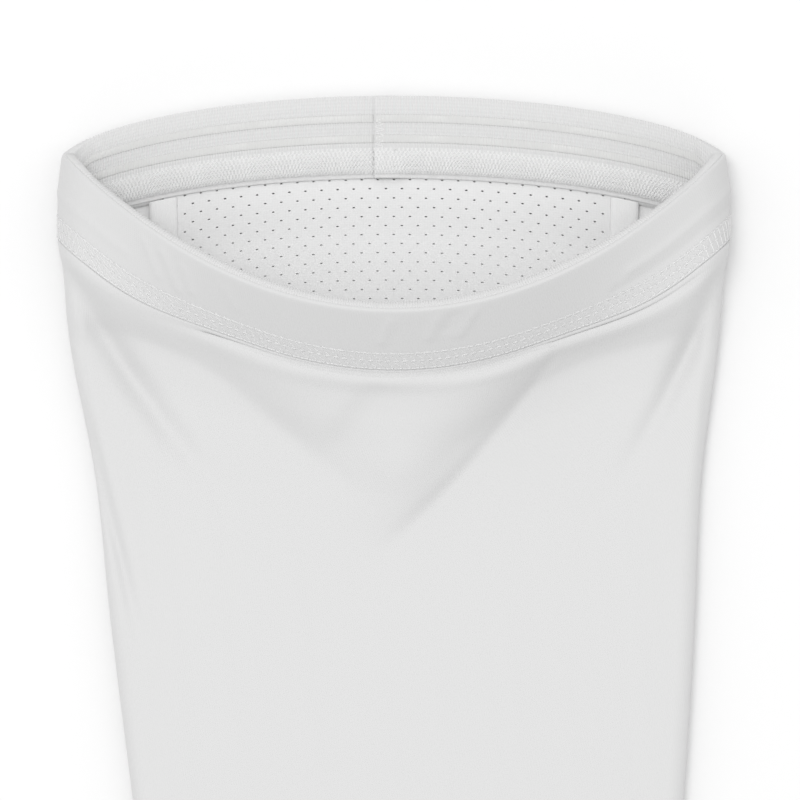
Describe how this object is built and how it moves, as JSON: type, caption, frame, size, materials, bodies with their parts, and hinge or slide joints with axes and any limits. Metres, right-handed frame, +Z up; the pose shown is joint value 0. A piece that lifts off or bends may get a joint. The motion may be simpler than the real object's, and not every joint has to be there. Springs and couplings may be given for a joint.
{
  "type": "calf compression sleeve",
  "caption": "White footless calf compression sleeve lying on its mesh back panel, its mouth propped open to show the elastic grip band with silicone lines.",
  "frame": {"origin": "middle of the sleeve's outline on the surface that it lies on", "axes": "+Y along the sleeve towards its mouth, +X across it, +Z up from the surface"},
  "size_m": [0.1654, 0.33, 0.0388],
  "materials": {
    "shell_knit": "matt",
    "mesh_knit": "matt",
    "elastic_tape": "matt",
    "silicone": "satin"
  },
  "bodies": {
    "root": {"front_panel": "shell_knit", "mesh_panel": "mesh_knit", "side_seam_left": "shell_knit", "side_seam_right": "shell_knit", "top_hem": "shell_knit", "ankle_hem": "shell_knit", "grip_band": "elastic_tape", "silicone_line_upper": "silicone", "silicone_line_lower": "silicone"}
  },
  "joints": []
}
